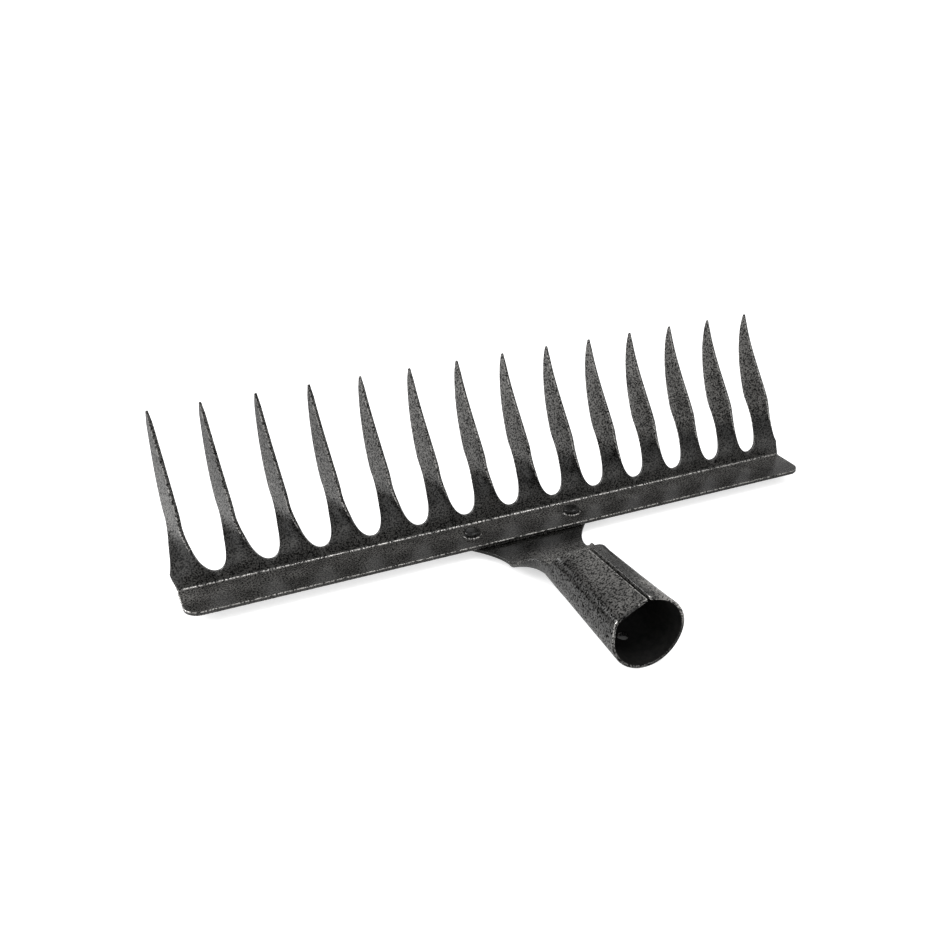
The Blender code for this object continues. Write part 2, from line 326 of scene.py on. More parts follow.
def grid_faces(work, rows):
    """Adds an open surface through rows of points to a bmesh."""
    grid = [[work.verts.new(point) for point in row] for row in rows]
    for lower, upper in zip(grid, grid[1:]):
        for i in range(len(lower) - 1):
            work.faces.new((lower[i], lower[i + 1], upper[i + 1], upper[i]))


def finish_sheet(work, name):
    """Merges a bmesh's double points and leaves it in a new mesh."""
    bmesh.ops.remove_doubles(work, verts=work.verts, dist=MERGE)
    bmesh.ops.recalc_face_normals(work, faces=work.faces)
    mesh = bpy.data.meshes.new(name)
    work.to_mesh(mesh)
    work.free()
    return mesh


def apply_modifiers(item):
    """Leaves the object with the mesh that its modifiers make."""
    evaluated = item.evaluated_get(bpy.context.evaluated_depsgraph_get())
    mesh = bpy.data.meshes.new_from_object(evaluated)
    item.modifiers.clear()
    item.data = mesh


def drill(item, centre, diameter, length):
    """Cuts an upright round hole through an object, and leaves the result in its mesh."""
    work = bmesh.new()
    bmesh.ops.create_cone(
        work,
        cap_ends=True,
        segments=ROUND_SEGMENTS,
        radius1=diameter / 2,
        radius2=diameter / 2,
        depth=length,
    )
    mesh = bpy.data.meshes.new("cutter")
    work.to_mesh(mesh)
    work.free()
    cutter = bpy.data.objects.new("cutter", mesh)
    bpy.context.scene.collection.objects.link(cutter)
    cutter.location = item.location + centre
    cut = item.modifiers.new("Cut", "BOOLEAN")
    cut.operation = "DIFFERENCE"
    cut.object = cutter
    bpy.context.view_layer.update()
    apply_modifiers(item)
    bpy.data.objects.remove(cutter)
    bpy.data.meshes.remove(mesh)


def weigh_edges(mesh, width):
    """Marks the sharp edges for the bevel, with less weight where the faces beside are narrow."""
    work = bmesh.new()
    work.from_mesh(mesh)
    weight = work.edges.layers.float.new("bevel_weight_edge")
    sharp = {edge for edge in work.edges if edge.calc_face_angle(0.0) > ROUNDED_ANGLE}
    for edge in sharp:
        rooms = []
        for face in edge.link_faces:
            alone = sum(other in sharp for other in face.edges) == 1
            share = LONE_EDGE_SHARE if alone else SHARED_EDGE_SHARE
            rooms.append(share * face.calc_area() / edge.calc_length())
        edge[weight] = min(min(rooms) / width, 1.0)
    work.to_mesh(mesh)
    work.free()


def round_edges(item, width, slot=-1):
    """Rounds the sharp edges. The rounded strips may take another material slot."""
    weigh_edges(item.data, width)
    bevel = item.modifiers.new("Rounded edges", "BEVEL")
    bevel.width = width
    bevel.material = slot
    bevel.segments = 3
    bevel.limit_method = "WEIGHT"
    bevel.use_clamp_overlap = False
    bpy.context.view_layer.update()
    apply_modifiers(item)
    item.data.shade_smooth()
    item.data.set_sharp_from_angle(angle=CREASED_ANGLE)


def tell_coat(item, name, share_at):
    """Gives the coat a number at each point of a mesh: how bright its flecks are, for one."""
    shares = item.data.attributes.new(name, "FLOAT", "POINT")
    for vertex in item.data.vertices:
        shares.data[vertex.index].value = share_at(vertex.co)


def solidify(item, thickness, share_at):
    """Gives a surface its thickness, of which each point may have only a share."""
    sheet = item.vertex_groups.new(name="sheet")
    for vertex in item.data.vertices:
        sheet.add([vertex.index], share_at(vertex.co), "REPLACE")
    solid = item.modifiers.new("Sheet", "SOLIDIFY")
    solid.thickness = thickness
    solid.vertex_group = sheet.name
    solid.offset = 0.0
    solid.use_even_offset = True
    bpy.context.view_layer.update()
    apply_modifiers(item)


# Blade


def tine_half_width(height):
    """Half the width of a tine's blank, without the flare at its root."""
    if height < LEAF_HEIGHT:
        share = smooth(height, LEAF_START, LEAF_HEIGHT)
        return between(SHANK_WIDTH, LEAF_WIDTH, share) / 2
    share = min((height - LEAF_HEIGHT) / (TINE_HEIGHT - LEAF_HEIGHT), 1.0)
    into_tip = min(max(1 - (TINE_HEIGHT - height) / TIP_ROUNDING, 0.0), 1.0)
    rounding = between(TIP_BLUNTNESS, 1.0, math.sqrt(1 - into_tip**2))
    return rounding * between(LEAF_WIDTH, TIP_WIDTH, share**TAPER_FULLNESS) / 2


def flared_half_width(height):
    """Half the sheet's width at a tine: the whole pitch up to the gap's bottom, then less."""
    rise = min(max((height - GAP_BOTTOM) / GAP_ROUNDING, 0.0), 1.0)
    opening = math.sqrt(1 - (1 - rise) ** 2)
    return between(TINE_PITCH / 2, tine_half_width(height), opening)


def tine_root(number):
    """The place along the blade at which a tine starts."""
    return (number - (TINE_COUNT - 1) / 2) * TINE_PITCH


def tine_centre(height, lean_to):
    """Offset of a tine's middle line from its root: it leans sideways and sweeps back."""
    share = min(height / TINE_HEIGHT, 1.0)
    lean_to = between(TINE_LEAN, lean_to, smooth(height, GAP_BOTTOM, LEAF_HEIGHT))
    lean = -lean_to * (1 - (1 - share) ** LEAN_FADE)
    sweep = TINE_SWEEP * smooth(height, SWEEP_START, TINE_HEIGHT)
    return Vector((lean, sweep, height))


def across_shares():
    count = 2 * HALF_TINE_COLUMNS
    return [i / count for i in range(count + 1)]


def tine_row(root, height, left_limit, right_limit, lean_to):
    """Points across one tine at a height, turned about its middle line."""
    centre = tine_centre(height, lean_to) + Vector((root, 0, 0))
    turn = TWIST_ANGLE * smooth(height, TWIST_START, TWIST_END)
    across = Vector((math.cos(turn), -math.sin(turn), 0))
    width = flared_half_width(height)
    left = -min(width, left_limit)
    right = min(width, right_limit)
    return [centre + across * between(left, right, share) for share in across_shares()]


def flange_trim(depth):
    """How far the flange's end lies inside the plate's end at a depth from the plate."""
    into_corner = max(depth - (FLANGE_DEPTH - FLANGE_CORNER), 0.0)
    rounding = FLANGE_CORNER - math.sqrt(max(FLANGE_CORNER**2 - into_corner**2, 0.0))
    return FLANGE_END_TAPER * depth + rounding


def blade_cell(work, number):
    """The strip of sheet that carries one tine, from the flange's front edge to the tip."""
    root = tine_root(number)
    first = number == 0
    last = number == TINE_COUNT - 1
    left_limit = END_MARGIN if first else TINE_PITCH
    right_limit = END_MARGIN if last else TINE_PITCH
    half = TINE_PITCH / 2
    bend = FOLD_RADIUS + SHEET / 2
    rows = []

    def flat_row(trim, offset):
        left = root - min(half, left_limit) + (trim if first else 0)
        right = root + min(half, right_limit) - (trim if last else 0)
        return [Vector((between(left, right, share), 0, 0)) + offset for share in across_shares()]

    straight = FLANGE_DEPTH - FLANGE_CORNER
    depths = [FLANGE_DEPTH - step for step in crowded(FLANGE_CORNER, FLANGE_CORNER_ROWS, 1.3)]
    depths += spaced(straight, FOLD_RADIUS, FLANGE_ROWS)
    for depth in depths:
        rows.append(flat_row(flange_trim(depth), Vector((0, -SHEET / 2 - depth, -SHEET / 2))))
    for angle in spaced(0, math.pi / 2, FOLD_ROWS):
        offset = Vector((0, -bend + bend * math.sin(angle), FOLD_RADIUS - bend * math.cos(angle)))
        rows.append(flat_row(flange_trim(FOLD_RADIUS) * math.cos(angle), offset))

    heights = [GAP_BOTTOM]
    steps = spaced(0, math.pi / 2, GAP_ROWS)
    heights += [GAP_BOTTOM + GAP_ROUNDING * (1 - math.cos(angle)) for angle in steps]
    heights += spaced(GAP_BOTTOM + GAP_ROUNDING, TINE_HEIGHT - TIP_ROUNDING, TINE_ROWS)
    steps = spaced(0, math.pi / 2, TIP_ROWS)
    heights += [TINE_HEIGHT - TIP_ROUNDING * (1 - math.sin(angle)) for angle in steps]
    lean_to = FIRST_TINE_LEAN if first else TINE_LEAN
    rows += [tine_row(root, height, left_limit, right_limit, lean_to) for height in heights]
    grid_faces(work, rows)


def tine_sheet_share(place):
    """The share of its thickness that the blade's sheet has at a point."""
    into_point = smooth(place.z, TINE_HEIGHT - POINT_LENGTH, TINE_HEIGHT)
    return between(1.0, POINT_THICKNESS, into_point)


def rivet_places():
    return {
        "left": Vector((-RIVET_SPACING / 2, -RIVET_SETBACK, 0)),
        "right": Vector((RIVET_SPACING / 2, -RIVET_SETBACK, 0)),
    }


def in_fold(place):
    """Whether a point lies in the middle of the fold's hollow side, where a painted highlight
    goes.
    """
    arm = Vector((place.y, place.z)) - Vector((-FOLD_RADIUS - SHEET / 2, FOLD_RADIUS))
    turn = math.atan2(arm.x, -arm.y)
    return arm.length < 1.05 * FOLD_RADIUS and FOLD_SHINE_START < turn < FOLD_SHINE_END


def on_cut_side(place):
    """Whether a point of a twisted tine lies on its cut sides."""
    centre = tine_centre(place.z, TINE_LEAN)
    number = round((place.x - centre.x) / TINE_PITCH + (TINE_COUNT - 1) / 2)
    if number == 0:
        centre = tine_centre(place.z, FIRST_TINE_LEAN)
    arm = place - centre - Vector((tine_root(number), 0, 0))
    turn = TWIST_ANGLE * smooth(place.z, TWIST_START, TWIST_END)
    across = abs(arm.x * math.cos(turn) - arm.y * math.sin(turn))
    reached = across > tine_half_width(place.z) - CUT_SIDE_DEPTH
    return place.z > GAP_BOTTOM + GAP_ROUNDING and reached


def on_flange(place):
    return place.y < -FOLD_RADIUS and place.z < 1.5 * SHEET


def blade_flecks(place):
    """Paints shade into the coat: the flecks are dim on the flange, at the tines' twist and on the
    left tines' points. The brighter flecks on the cut sides are painted light.
    """
    if on_flange(place):
        front = smooth(-place.y, *FLANGE_FRONT_DEPTH)
        return between(FLECKS["flange_rear"], FLECKS["flange_front"], front)
    if on_cut_side(place):
        left = smooth(-place.x, *CUT_SIDE_LEFT)
        return between(FLECKS["cut_side"], FLECKS["left_cut_side"], left)
    level = between(FLECKS["root"], FLECKS["twist"], smooth(place.z, *TWIST_UP))
    level = between(level, FLECKS["leaf"], smooth(place.z, *LEAF_UP))
    point = smooth(place.z, *POINT_UP) * smooth(-place.x, *POINT_LEFT)
    return between(level, FLECKS["left_point"], point)


def blade_pits(place):
    """How dull the dots between the flecks are: shiny on the flange, duller up the tines."""
    if on_flange(place):
        return PITS["flange"]
    return between(PITS["root"], PITS["leaf"], smooth(place.z, *PITTED_LEAF_UP))


def add_blade(coat, wear_and_glint):
    """The toothed sheet, with the worn coat along its arrises as wear and painted glints, and
    along its fold as a painted highlight, but not at the tines' roots.
    """
    work = bmesh.new()
    for number in range(TINE_COUNT):
        blade_cell(work, number)
    blade = new_object("coated_blade", finish_sheet(work, "coated_blade"), coat)
    blade.data.materials.append(wear_and_glint)
    solidify(blade, SHEET, tine_sheet_share)
    for place in rivet_places().values():
        drill(blade, place + Vector((0, 0, -SHEET / 2)), RIVET_HOLE, 2 * SHEET)
    round_edges(blade, EDGE_ROUNDING, WEAR_AND_GLINT)
    for face in blade.data.polygons:
        if in_fold(face.center):
            face.material_index = WEAR_AND_GLINT
        # No painted glints on the arrises near the tines' roots
        elif GAP_BOTTOM - EDGE_ROUNDING < face.center.z < WEAR_AND_GLINT_FROM:
            face.material_index = COAT
    tell_coat(blade, "flecks", blade_flecks)
    tell_coat(blade, "pits", blade_pits)
    return blade


# Socket


def tube_turns(radius, side):
    """The rolled half section as (length, turn) runs, from the bottom to the seam.

    The left half is a round arc, a crease and a flat that leans to the seam. The right half
    stays round until just beside the seam.
    """
    middle = radius - SOCKET_SHEET / 2
    if side == "right":
        arc = math.pi - SEAM_PEAK_ANGLE
        edge = SEAM_CLEARANCE / 2 + SOCKET_SHEET / 2 * math.sin(SEAM_PEAK_ANGLE)
        reach = middle * math.tan(SEAM_PEAK_ANGLE) - edge / math.cos(SEAM_PEAK_ANGLE)
        return [(middle * arc, arc), (reach, 0.0)]
    edge = SEAM_CLEARANCE / 2 + SOCKET_SHEET / 2 * math.sin(FLAT_ANGLE)
    peak = middle / math.cos(SEAM_PEAK_ANGLE)
    arc = WALL_TURN
    crease = math.pi - FLAT_ANGLE - arc
    crease_rise = CREASE_RADIUS * (math.cos(arc) - math.cos(arc + crease))
    crease_run = CREASE_RADIUS * (math.sin(arc + crease) - math.sin(arc))
    start = Vector((middle * math.sin(arc), -middle * math.cos(arc)))
    goal = Vector((edge, peak - edge * math.tan(FLAT_ANGLE))) - start
    goal -= Vector((crease_run, crease_rise))
    wall = Vector((math.cos(arc), math.sin(arc)))
    flat = Vector((math.cos(arc + crease), math.sin(arc + crease)))
    spread = wall.x * flat.y - wall.y * flat.x
    wall_length = (goal.x * flat.y - goal.y * flat.x) / spread
    flat_length = (wall.x * goal.y - wall.y * goal.x) / spread
    return [
        (middle * arc, arc),
        (wall_length, 0.0),
        (CREASE_RADIUS * crease, crease),
        (flat_length, 0.0),
    ]


def turned_at(runs, length):
    """How far the section has turned after a length along it."""
    turn = 0.0
    for run, angle in runs:
        if length < run:
            return turn + angle * length / run
        turn += angle
        length -= run
    return turn


def half_section(runs, curl, reach):
    """Points from the bottom outward, on a section with a share of its full roll."""
    step = reach / HALF_SOCKET_COLUMNS / SECTION_STEPS
    place = Vector((0, 0))
    points = [place.copy()]
    for along in spaced(0, reach, HALF_SOCKET_COLUMNS):
        for i in range(SECTION_STEPS):
            turn = curl * turned_at(runs, along - (i + 0.5) * step)
            place += Vector((math.cos(turn), math.sin(turn))) * step
        points.append(place.copy())
    return points


def blank_reach(depth, full):
    """Half the width of the socket's flat blank at a distance in front of the blade."""
    if depth > CURL_START:
        share = min(max((depth - SHOULDER_START) / (TUBE_START - SHOULDER_START), 0.0), 1.0)
        return between(NECK_WIDTH / 2, full, share**SHOULDER_FULLNESS)
    flare_start = RIVET_SETBACK + RIVET_TAIL / 2
    share = min((CURL_START - depth) / (CURL_START - flare_start), 1.0)
    into_corner = max(TONGUE_SETBACK + TONGUE_CORNER - depth, 0.0)
    rounding = TONGUE_CORNER - math.sqrt(TONGUE_CORNER**2 - into_corner**2)
    return between(NECK_WIDTH, TONGUE_WIDTH, share**FLARE_FULLNESS) / 2 - rounding


def mouth_sheet_share(depth):
    """The share of its thickness that the socket's sheet has at a distance from the blade."""
    return between(1.0, MOUTH_THICKNESS, smooth(depth, MOUTH - MOUTH_THINNING, MOUTH))


def socket_row(depth):
    """Points across the socket's sheet at a distance in front of the blade."""
    share = max((depth - TUBE_START) / (MOUTH - TUBE_START), 0.0)
    radius = between(REAR_RADIUS, MOUTH_RADIUS, share)
    radius += (1 - mouth_sheet_share(depth)) * SOCKET_SHEET / 2
    curl = smooth(depth, CURL_START, CURL_END)
    tube_bottom = AXIS_HEIGHT - radius + SOCKET_SHEET / 2
    bottom = between(TONGUE_LEVEL, tube_bottom, smooth(depth, CURL_START, TUBE_START))
    halves = []
    for side, sign in (("left", -1), ("right", 1)):
        runs = tube_turns(radius, side)
        full = sum(run for run, turn in runs)
        points = half_section(runs, curl, blank_reach(depth, full))
        halves.append([Vector((sign * point.x, -depth, bottom + point.y)) for point in points])
    left, right = halves
    start = AXIS_HEIGHT + BULGE_START * radius
    end = AXIS_HEIGHT + BULGE_END * radius
    for point in right:
        point.x *= 1 + MOUTH_BULGE * share**BULGE_POWER * smooth(point.z, start, end)
    return left[:0:-1] + right


def socket_flecks(place):
    """Paints shade into the coat: the flecks are dim on the tongue, at the crease and to the right
    of the seam.

    A painted highlight makes the coat lighter at the right of the mouth. The brighter flecks at
    the neck and the lower rim are painted light.
    """
    depth = -place.y
    if place.x > 0:
        # A painted highlight near the mouth on the tube's right side
        painted_highlight = smooth(place.x, *PAINTED_HIGHLIGHT_RIGHT) * smooth(place.z, *PAINTED_HIGHLIGHT_UP)
        painted_highlight *= smooth(depth, *PAINTED_HIGHLIGHT_DEPTH)
        level = between(FLECKS["right_of_seam"], FLECKS["painted_highlight"], painted_highlight)
    else:
        level = between(FLECKS["tube_bottom"], FLECKS["tube_wall"], smooth(place.z, *TUBE_WALL_UP))
        level = between(level, FLECKS["tube_flat"], smooth(place.z, *TUBE_FLAT_UP))
    neck = smooth(place.x, *NECK_RIGHT) * (1 - smooth(depth, *NECK_END_DEPTH))
    level = between(level, FLECKS["neck"], neck)
    if place.x < 0:
        rim = FLECKS["lower_rim"] if place.z < AXIS_HEIGHT else FLECKS["upper_rim"]
        level = between(level, rim, smooth(depth, *RIM_START_DEPTH))
    return between(FLECKS["tongue"], level, smooth(depth, *TONGUE_END_DEPTH))


def socket_pits(place):
    """How dull the dots between the flecks are: most on the tube's left wall and crease."""
    wall = 1 - smooth(place.z, *PITTED_WALL_UP)
    left = 1 - smooth(place.x, *PITTED_WALL_RIGHT)
    level = between(PITS["tube_flat"], PITS["tube_wall"], wall)
    return level * left * smooth(-place.y, *PITTED_WALL_DEPTH)


def socket_matt(place):
    """The coat hardly mirrors along the tube's left crease."""
    crease = smooth(place.z, *CREASE_START_UP) * (1 - smooth(place.z, *CREASE_END_UP))
    left = smooth(-place.x, *CREASE_LEFT)
    return CREASE_MATT * crease * left * smooth(-place.y, *CREASE_DEPTH)


def socket_slot(face):
    """The material slot of one of the socket's faces: the coat, the worn coat with its painted
    glints, or the near black inside as painted shade.
    """
    place = face.center
    from_axis = Vector((place.x, place.z - AXIS_HEIGHT))
    inward = Vector((face.normal.x, face.normal.z)).dot(from_axis) < -0.5 * from_axis.length
    in_tube = inward and face.material_index == COAT and place.y < -TUBE_COAT_START
    from_nail = (place - NAIL_PLACE).to_2d().length if place.z < 0 else MOUTH
    # The tube's inside and the nail hole's walls take the near black inside, painted shade
    if NAIL_WALL < from_nail < NAIL_EDGE or (in_tube and from_nail > NAIL_WALL):
        return INSIDE
    # The rounded strips keep the worn coat, wear and painted glints, mainly along the seam and the
    # mouth's left, with a short painted highlight dash on the rim by the seam
    at_rim = place.y < RIM_DEPTH - MOUTH
    on_outside = from_axis.length > MOUTH_RADIUS - 0.3 * SOCKET_SHEET
    coated = (
        place.y > -TUBE_COAT_START
        or (place.x > 0 and not at_rim)
        or (place.x > 2 * MM and on_outside)
        or (at_rim and place.z > FLAT_BOTTOM and place.x < -RIM_DASH)
        or (at_rim and place.z < AXIS_HEIGHT)
    )
    return COAT if coated else face.material_index


def add_socket(coat, wear_and_glint, inside):
    """The rolled sheet, with the worn coat as wear and painted glints along the seam and at the
    left of the mouth, and its inside painted near black as shade.
    """
    depths = [TONGUE_SETBACK + step for step in crowded(TONGUE_CORNER, TONGUE_CORNER_ROWS, 1.25)]
    depths += spaced(depths[-1], CURL_START, TONGUE_ROWS)
    depths += spaced(CURL_START, TUBE_START, NECK_ROWS)
    depths += spaced(TUBE_START, MOUTH, TUBE_ROWS)
    work = bmesh.new()
    grid_faces(work, [socket_row(depth) for depth in depths])
    socket = new_object("coated_socket", finish_sheet(work, "coated_socket"), coat)
    socket.data.materials.append(wear_and_glint)
    solidify(socket, SOCKET_SHEET, lambda place: mouth_sheet_share(-place.y))
    for place in rivet_places().values():
        drill(socket, place + Vector((0, 0, TONGUE_LEVEL)), RIVET_HOLE, 2 * SOCKET_SHEET)
    drill(socket, NAIL_PLACE, NAIL_HOLE, 6 * SOCKET_SHEET)
    round_edges(socket, EDGE_ROUNDING, WEAR_AND_GLINT)
    socket.data.materials.append(inside)
    for face in socket.data.polygons:
        face.material_index = socket_slot(face)
    tell_coat(socket, "flecks", socket_flecks)
    tell_coat(socket, "pits", socket_pits)
    tell_coat(socket, "matt", socket_matt)
    return socket


# Rivets


def rivet_profile():
    """Half outline in the XZ plane, from the top of the dome down to the tail."""
    head = RIVET_HEAD / 2
    shank = RIVET_SHANK / 2
    tail = RIVET_TAIL / 2
    dome = RIVET_DOME - RIVET_RIM
    points = [(0, SEAT_GAP + RIVET_DOME)]
    for angle in spaced(0, math.pi / 2, DOME_ROWS):
        across = max(math.sin(angle), 0.0) ** HEAD_FULLNESS
        up = max(math.cos(angle), 0.0) ** HEAD_FULLNESS
        points.append((head * across, SEAT_GAP + RIVET_RIM + dome * up))
    tail_top = LAP_BOTTOM - SEAT_GAP
    collar = head + COAT_COLLAR
    for angle in spaced(0, math.pi / 2, COLLAR_ROWS):
        drop = (RIVET_RIM + SEAT_GAP / 2) * math.sin(angle)
        points.append((collar - COAT_COLLAR * math.cos(angle), SEAT_GAP + RIVET_RIM - drop))
    points += [(collar, SEAT_GAP / 4), (head, SEAT_GAP / 4)]
    points += [(shank, SEAT_GAP / 4), (shank, tail_top), (tail, tail_top)]
    points += [(tail, tail_top - RIVET_TAIL_HEIGHT), (0, tail_top - RIVET_TAIL_HEIGHT)]
    return points


def add_rivet(side, place, coat, wear_and_glint):
    """A turned rivet, with a collar of coat round its head that carries the worn coat as a painted
    highlight ring.
    """
    work = bmesh.new()
    columns = []
    for i in range(ROUND_SEGMENTS):
        angle = 2 * math.pi * i / ROUND_SEGMENTS
        ring = [(x * math.cos(angle), x * math.sin(angle), z) for x, z in rivet_profile()]
        columns.append([Vector(point) for point in ring])
    grid_faces(work, columns + columns[:1])
    name = f"coated_rivet_{side}"
    rivet = new_object(name, finish_sheet(work, name), coat)
    rivet.data.materials.append(wear_and_glint)
    rivet.location += place
    round_edges(rivet, RIVET_EDGE_ROUNDING)
    for face in rivet.data.polygons:
        on_collar = face.center.to_2d().length > RIVET_HEAD / 2 + 0.05 * MM
        if on_collar and face.center.z > 0:
            face.material_index = WEAR_AND_GLINT
    tell_coat(rivet, "flecks", lambda place: FLECKS["rivet"])
    return rivet


# Materials


class Nodes:
    """Short calls for the nodes of one material."""

    def __init__(self, name):
        self.material = bpy.data.materials.new(name)
        self.material.use_nodes = True
        self.tree = self.material.node_tree
        self.shader = self.tree.nodes["Principled BSDF"]

    def add(self, kind, **settings):
        node = self.tree.nodes.new(kind)
        for key, value in settings.items():
            if key.startswith("in_"):
                node.inputs[key[3:].replace("_", " ")].default_value = value
            else:
                setattr(node, key, value)
        return node

    def link(self, source, target):
        self.tree.links.new(source, target)

    def ramp(self, source, stops):
        """A colour ramp on a value: stops are (position, (r, g, b))."""
        node = self.add("ShaderNodeValToRGB")
        elements = node.color_ramp.elements
        while len(elements) < len(stops):
            elements.new(0.5)
        for element, (position, colour) in zip(elements, stops):
            element.position = position
            element.color = (*colour, 1.0)
        self.link(source, node.inputs["Fac"])
        return node.outputs["Color"]

    def multiply(self, first, second):
        """The product of two colours."""
        node = self.add("ShaderNodeMix", data_type="RGBA", blend_type="MULTIPLY")
        node.inputs["Factor"].default_value = 1.0
        self.link(first, node.inputs["A"])
        self.link(second, node.inputs["B"])
        return node.outputs["Result"]

    def math(self, operation, *values):
        """Arithmetic on plain numbers and other nodes' outputs."""
        node = self.add("ShaderNodeMath", operation=operation)
        for value, target in zip(values, node.inputs):
            if isinstance(value, float):
                target.default_value = value
            else:
                self.link(value, target)
        return node.outputs["Value"]

    def noise(self, place, scale, detail, roughness):
        node = self.add("ShaderNodeTexNoise")
        self.link(place, node.inputs["Vector"])
        node.inputs["Scale"].default_value = scale
        node.inputs["Detail"].default_value = detail
        node.inputs["Roughness"].default_value = roughness
        return node.outputs["Fac"]

    def bump(self, height, distance, strength):
        node = self.add("ShaderNodeBump", in_Strength=strength, in_Distance=distance)
        self.link(height, node.inputs["Height"])
        self.link(node.outputs["Normal"], self.shader.inputs["Normal"])


def grey(level):
    return (level,) * 3


def hammered_coat(name, light, wear_and_glint):
    """A near black coat with fine light flecks, small dimples and a semi-gloss skin.

    light is the flecks' colour. The mesh says from place to place how bright the flecks are
    ("flecks"), which paints light and shade into the coat, how dull the dots between them are
    ("pits"), and how little the coat mirrors ("matt"). On the worn arrises, partly wear and partly
    painted glints, the flecks are everywhere bright, and mirror like metal.
    """
    nodes = Nodes(name)
    place = nodes.add("ShaderNodeTexCoord").outputs["Object"]
    grain = nodes.noise(place, GRAIN_SCALE, detail=1.5, roughness=0.5)
    patches = nodes.noise(place, PATCH_SCALE, detail=3.0, roughness=0.6)
    speckle = nodes.ramp(grain, [(DOT_END, DOT_COLOUR), (FLECK_START, light)])
    tone = nodes.ramp(patches, [(0.36, grey(0.65)), (0.6, grey(1.0))])
    colour = nodes.multiply(speckle, tone)
    if wear_and_glint:
        shine = nodes.ramp(grain, [(DOT_END, grey(0.0)), (FLECK_START, grey(WEAR_AND_GLINT_METAL))])
        nodes.link(shine, nodes.shader.inputs["Metallic"])
    else:
        share = nodes.add("ShaderNodeAttribute", attribute_name="flecks").outputs["Color"]
        colour = nodes.multiply(colour, share)
    nodes.link(colour, nodes.shader.inputs["Base Color"])
    gloss = nodes.ramp(grain, [(0.35, grey(0.2)), (0.7, grey(0.32))])
    nodes.link(gloss, nodes.shader.inputs["Roughness"])
    nodes.bump(grain, GRAIN_DEPTH, strength=0.4)
    pits = nodes.add("ShaderNodeAttribute", attribute_name="pits").outputs["Fac"]
    mirror = nodes.add("ShaderNodeMapRange", in_From_Min=DOT_END, in_From_Max=FLECK_START)
    nodes.link(grain, mirror.inputs["Value"])
    for end, change in (("To Min", PITTED_DOT_CHANGE), ("To Max", PITTED_FLECK_CHANGE)):
        level = nodes.math("MULTIPLY_ADD", pits, change, COAT_MIRROR)
        nodes.link(level, mirror.inputs[end])
    matt = nodes.add("ShaderNodeAttribute", attribute_name="matt").outputs["Fac"]
    level = nodes.math("MULTIPLY", mirror.outputs["Result"], nodes.math("SUBTRACT", 1.0, matt))
    nodes.link(level, nodes.shader.inputs["Specular IOR Level"])
    return nodes.material


def painted_shade_inside(name):
    """The dull, near black inside of the tube: painted shade."""
    nodes = Nodes(name)
    place = nodes.add("ShaderNodeTexCoord").outputs["Object"]
    grain = nodes.noise(place, INSIDE_SCALE, detail=4.0, roughness=0.6)
    stops = [(0.35, grey(0.006)), (0.7, (0.018, 0.017, 0.016))]
    nodes.link(nodes.ramp(grain, stops), nodes.shader.inputs["Base Color"])
    nodes.bump(grain, INSIDE_DEPTH, strength=0.3)
    nodes.shader.inputs["Roughness"].default_value = INSIDE_ROUGHNESS
    nodes.shader.inputs["Specular IOR Level"].default_value = INSIDE_MIRROR
    return nodes.material


def seen_or_mirrored(nodes):
    """1 for the camera's own rays, 0 for diffuse ones. Gloss shows it brightest near the left."""
    rays = nodes.add("ShaderNodeLightPath")
    place = nodes.add("ShaderNodeNewGeometry").outputs["Position"]
    leftward = nodes.add("ShaderNodeVectorMath", operation="DOT_PRODUCT")
    nodes.link(place, leftward.inputs[0])
    leftward.inputs[1].default_value = GLOW_DIRECTION
    stops = [(0.0, grey(0.15)), (0.085, grey(0.5)), (0.26, grey(0.5)), (0.36, grey(0.25))]
    glow = nodes.ramp(leftward.outputs["Value"], stops)
    mirrored = nodes.math("MULTIPLY", rays.outputs["Is Glossy Ray"], glow)
    both = nodes.math("MAXIMUM", rays.outputs["Is Camera Ray"], mirrored)
    return nodes.math("MAXIMUM", both, rays.outputs["Is Transmission Ray"])


def add_floor():
    """A pale floor that curves up into a low round wall. It reads white and keeps the shadow."""
    profile = [(r, 0.0) for r in (0.0, FLOOR_CENTRE, FLOOR_RADIUS / 2, FLOOR_RADIUS)]
    for angle in spaced(0, math.pi / 2, 12):
        radius = FLOOR_RADIUS + WALL_CURVE * math.sin(angle)
        profile.append((radius, WALL_CURVE - WALL_CURVE * math.cos(angle)))
    profile.append((FLOOR_RADIUS + WALL_CURVE, WALL_TOP))
    turns = [2 * math.pi * i / FLOOR_SEGMENTS for i in range(FLOOR_SEGMENTS + 1)]
    work = bmesh.new()
    rows = [[Vector((r * math.cos(t), r * math.sin(t), z)) for t in turns] for r, z in profile]
    grid_faces(work, rows)
    bmesh.ops.dissolve_degenerate(work, edges=work.edges, dist=MERGE)
    mesh = finish_sheet(work, "floor")
    mesh.shade_smooth()
    floor = bpy.data.objects.new("floor", mesh)
    bpy.context.scene.collection.objects.link(floor)
    level = cad_box[0][2]
    floor.location = (0, 0, level)
    mesh.materials.append(pale_floor(level))


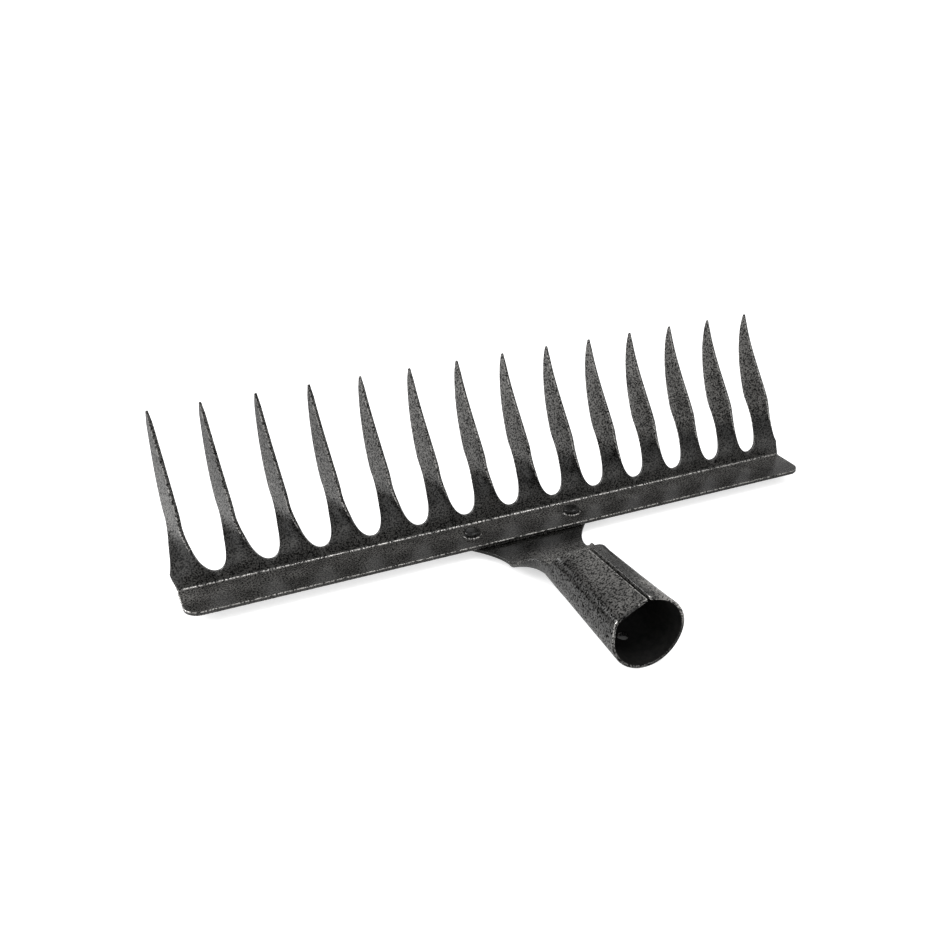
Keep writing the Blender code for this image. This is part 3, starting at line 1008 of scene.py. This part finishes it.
def pale_floor(level):
    """It glows less where the rake covers it closely, a painted shadow, and hardly under the nail
    hole, where its colour is darker too: painted shade.
    """
    nodes = Nodes("pale_floor")
    nodes.shader.inputs["Roughness"].default_value = 1.0
    nodes.shader.inputs["Specular IOR Level"].default_value = 0.0
    nodes.shader.inputs["Emission Color"].default_value = (1.0, 1.0, 1.0, 1.0)
    open_sky = nodes.add("ShaderNodeAmbientOcclusion", samples=8, in_Distance=SHADE_REACH)
    stops = [(0.1, grey(0.5)), (0.3, grey(0.9)), (0.5, grey(1.0))]
    uncovered = nodes.ramp(open_sky.outputs["AO"], stops)
    away = nodes.add("ShaderNodeVectorMath", operation="DISTANCE")
    nodes.link(nodes.add("ShaderNodeNewGeometry").outputs["Position"], away.inputs[0])
    seen_through = NAIL_PLACE + HOLE_SHADE_OFFSET + PLATE_FRAME
    away.inputs[1].default_value = (seen_through.x, seen_through.y, level)
    beside_hole = nodes.add(
        "ShaderNodeMapRange",
        in_From_Min=HOLE_SHADE_FULL,
        in_From_Max=HOLE_SHADE_START,
        in_To_Min=HOLE_SHADE_GLOW,
    )
    nodes.link(away.outputs["Value"], beside_hole.inputs["Value"])
    beside_hole = beside_hole.outputs["Result"]
    stops = [(HOLE_SHADE_GLOW, grey(HOLE_SHADE_COLOUR)), (1.0, grey(FLOOR_COLOUR))]
    nodes.link(nodes.ramp(beside_hole, stops), nodes.shader.inputs["Base Color"])
    glow = nodes.math("MULTIPLY", seen_or_mirrored(nodes), uncovered)
    strength = nodes.math("MULTIPLY", glow, beside_hole)
    nodes.link(strength, nodes.shader.inputs["Emission Strength"])
    return nodes.material


def add_area(name, place, target, size, power):
    lamp = bpy.data.lights.new(name, "AREA")
    lamp.shape = "RECTANGLE"
    lamp.size, lamp.size_y = size
    lamp.energy = power
    item = bpy.data.objects.new(name, lamp)
    bpy.context.scene.collection.objects.link(item)
    item.location = place
    item.rotation_euler = (Vector(target) - Vector(place)).to_track_quat("-Z", "Y").to_euler()
    item.visible_camera = False


def add_sky():
    """An even light sky, which the camera's own rays see white."""
    world = bpy.data.worlds.new("studio")
    bpy.context.scene.world = world
    world.use_nodes = True
    background = world.node_tree.nodes["Background"]
    background.inputs["Color"].default_value = (1.0, 1.0, 1.0, 1.0)
    rays = world.node_tree.nodes.new("ShaderNodeLightPath")
    level = world.node_tree.nodes.new("ShaderNodeMapRange")
    level.inputs["To Min"].default_value = SKY_STRENGTH
    world.node_tree.links.new(rays.outputs["Is Camera Ray"], level.inputs["Value"])
    world.node_tree.links.new(level.outputs["Result"], background.inputs["Strength"])


def add_lamps():
    """A big soft key low at the left, a little behind, and a strip over the front."""
    add_area("key", (-1.18, 0.68, 0.67), target=(0, 0, 0.04), size=(1.0, 0.5), power=22.0)
    add_area("top", (0.3, -0.45, 1.25), target=(0.1, 0, 0.03), size=(1.2, 0.15), power=5.0)


def add_camera():
    camera = bpy.data.cameras.new("camera")
    item = bpy.data.objects.new("camera", camera)
    bpy.context.scene.collection.objects.link(item)
    view = CAMERA_VIEW.normalized()
    right = view.cross(CAMERA_UP).normalized()
    turn = Matrix((right, right.cross(view), -view)).transposed().to_4x4()
    turn.translation = CAMERA_PLACE + PLATE_FRAME
    item.matrix_world = turn
    camera.sensor_width = CAMERA_SENSOR
    camera.lens = CAMERA_LENS
    camera.clip_start = 0.01
    bpy.context.scene.camera = item


def main():
    coat = hammered_coat("hammered_coat", FLECK_COLOUR, False)
    wear_and_glint = hammered_coat("hammered_coat_arrises", WEAR_AND_GLINT_COLOUR, True)
    inside = painted_shade_inside("painted_shade_inside")
    pieces = [
        (add_blade(coat, wear_and_glint), "tine_blade", "coat"),
        (add_socket(coat, wear_and_glint, inside), "handle_socket", "coat"),
    ]
    for side, place in rivet_places().items():
        pieces.append((add_rivet(side, place, coat, wear_and_glint), f"rivet_{side}", "rivet"))
    for piece, node, slot in pieces:
        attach(piece, "root")
        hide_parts(node)
    add_floor()
    add_sky()
    add_lamps()
    add_camera()
    bpy.context.scene.view_settings.view_transform = "Standard"


main()
